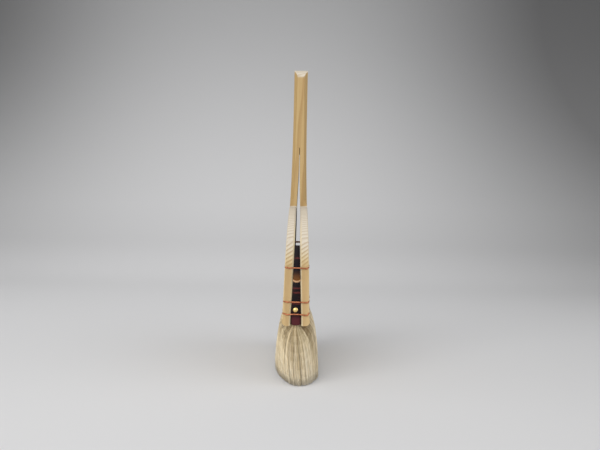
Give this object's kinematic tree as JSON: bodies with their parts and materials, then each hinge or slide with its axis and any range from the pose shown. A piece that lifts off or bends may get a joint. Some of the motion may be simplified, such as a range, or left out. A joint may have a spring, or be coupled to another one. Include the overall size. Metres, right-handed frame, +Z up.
{
  "type": "flat paste brush",
  "caption": "Wide flat hake brush: split pale wood board clamping a bundle of soft goat hair, sewn with copper wire and edged with cherry bark strips.",
  "frame": {"origin": "middle of the footprint of the hair tips, on the surface that the brush stands on", "axes": "+Z up the handle, +X through the thickness, +Y across the width"},
  "size_m": [0.0316, 0.1222, 0.229],
  "materials": {
    "cypress_wood": "planed cypress, unvarnished, straight fine grain",
    "goat_hair": "soft cream-white goat hair, faint silky sheen",
    "hard_glue": "dark hardened glue",
    "copper_wire": "drawn bare copper wire, slightly dulled",
    "cherry_bark": "polished dark red-brown cherry bark with crosswise lenticels",
    "brass_nail": "polished domed brass head"
  },
  "bodies": {
    "handle": {"handle": "cypress_wood", "hair_roots": "goat_hair", "root_glue": "hard_glue", "copper_stitch_lower": "copper_wire", "copper_stitch_middle": "copper_wire", "copper_stitch_upper": "copper_wire", "neck_stitch": "copper_wire", "lower_bark_near": "cherry_bark", "lower_bark_far": "cherry_bark", "upper_bark_near": "cherry_bark", "upper_bark_far": "cherry_bark", "brass_nail_near": "brass_nail", "brass_nail_far": "brass_nail"},
    "bristles": {"bristle_bundle": "goat_hair"}
  },
  "joints": [
    {"name": "bristle_flex", "type": "hinge", "parent": "handle", "child": "bristles", "pos_m": [0, 0, 0.041], "axis": [0, 1, 0], "range_deg": [-20, 20], "stiffness_Nm_per_rad": 0.6}
  ]
}
